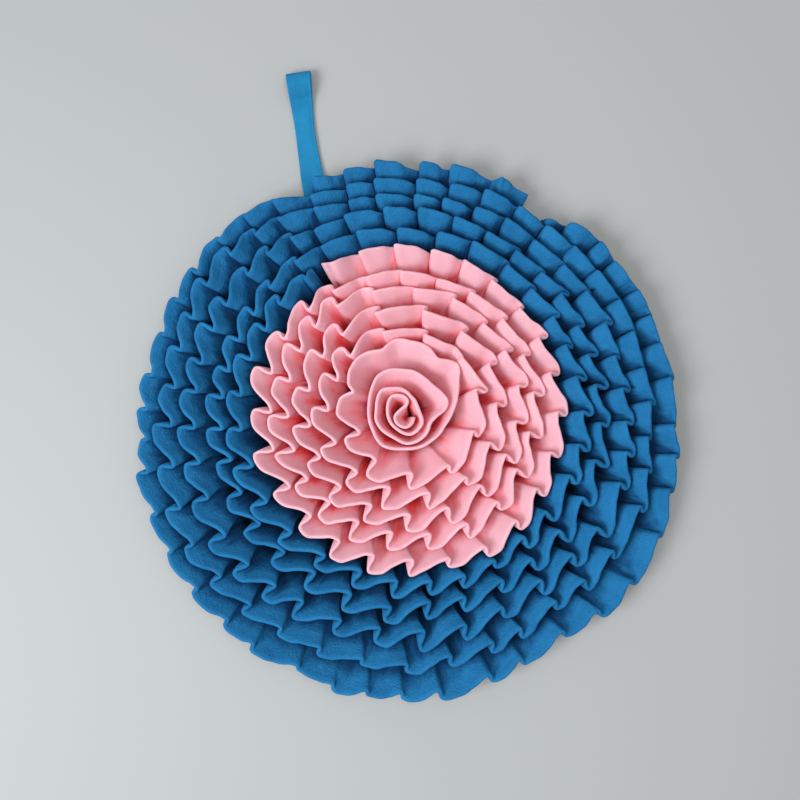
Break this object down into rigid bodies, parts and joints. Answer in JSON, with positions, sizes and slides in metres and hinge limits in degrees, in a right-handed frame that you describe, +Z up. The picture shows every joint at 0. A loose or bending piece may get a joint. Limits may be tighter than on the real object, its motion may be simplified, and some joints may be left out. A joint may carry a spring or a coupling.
{
  "type": "snuffle mat",
  "caption": "Round snuffle mat: ruffled blue fleece strips sewn in a spiral on a felt disc, with a pink ruffled middle rolled into a rosette and a strap loop at the rim.",
  "frame": {"origin": "the middle of the felt disc's underside, on the surface that the mat lies on", "axes": "+Z up out of the ruffled face, +Y towards the side with the hanging loop, +X to the right seen from above with the loop away"},
  "size_m": [0.3529, 0.4114, 0.0355],
  "materials": {
    "blue_fleece": "matte fleece with a short nap",
    "pink_cloth": "matte brushed cloth, smooth",
    "backing_felt": "matte felt"
  },
  "bodies": {
    "root": {"backing": "backing_felt", "blue_ruffle_end": "blue_fleece", "blue_ruffle": "blue_fleece", "pink_ruffle": "pink_cloth", "hanging_loop": "blue_fleece"}
  },
  "joints": []
}
